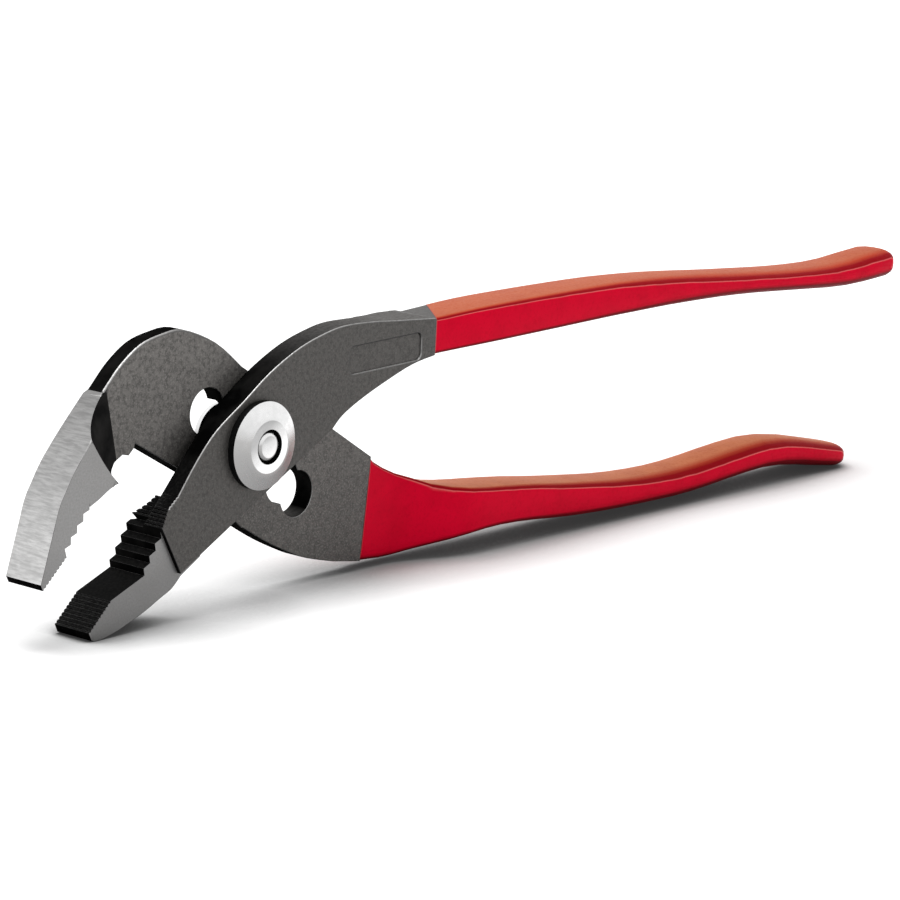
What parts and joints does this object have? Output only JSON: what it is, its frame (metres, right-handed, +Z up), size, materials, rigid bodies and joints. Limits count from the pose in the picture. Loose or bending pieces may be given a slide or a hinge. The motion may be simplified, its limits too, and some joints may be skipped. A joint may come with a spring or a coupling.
{
  "type": "slip joint pliers",
  "caption": "Multi-position slip joint pliers: slotted rear lever, front lever on a keyed bolt with a domed cone washer, toothed angled jaws and dipped red handle grips.",
  "frame": {"origin": "under the middle of the pliers' bounding box, on the surface that they stand on", "axes": "+X from the jaws to the handles' ends, +Y from the front lever with the cone washer to the rear lever with the bolt head, +Z up, from the lower jaw to the upper one"},
  "size_m": [0.255, 0.0136, 0.0502],
  "materials": {
    "forged_steel": "dark satin, ground bright on the jaws",
    "plated_steel": "bright plated",
    "red_vinyl": "smooth dipped coating, slightly glossy"
  },
  "bodies": {
    "rear": {"rear_lever": "forged_steel", "lower_grip": "red_vinyl"},
    "washer": {"cone_washer": "plated_steel"},
    "front": {"front_lever": "forged_steel", "upper_grip": "red_vinyl", "pivot_bolt": "plated_steel"}
  },
  "joints": [
    {"name": "slot_slide", "type": "slide", "parent": "rear", "child": "washer", "axis": [0.8039, 0, -0.5948], "range_m": [-0.01, 0.02]},
    {"name": "pivot", "type": "hinge", "parent": "washer", "child": "front", "pos_m": [-0.0765, 0.00105, 0.029], "axis": [0, 1, 0], "range_deg": [-45, 5]}
  ]
}
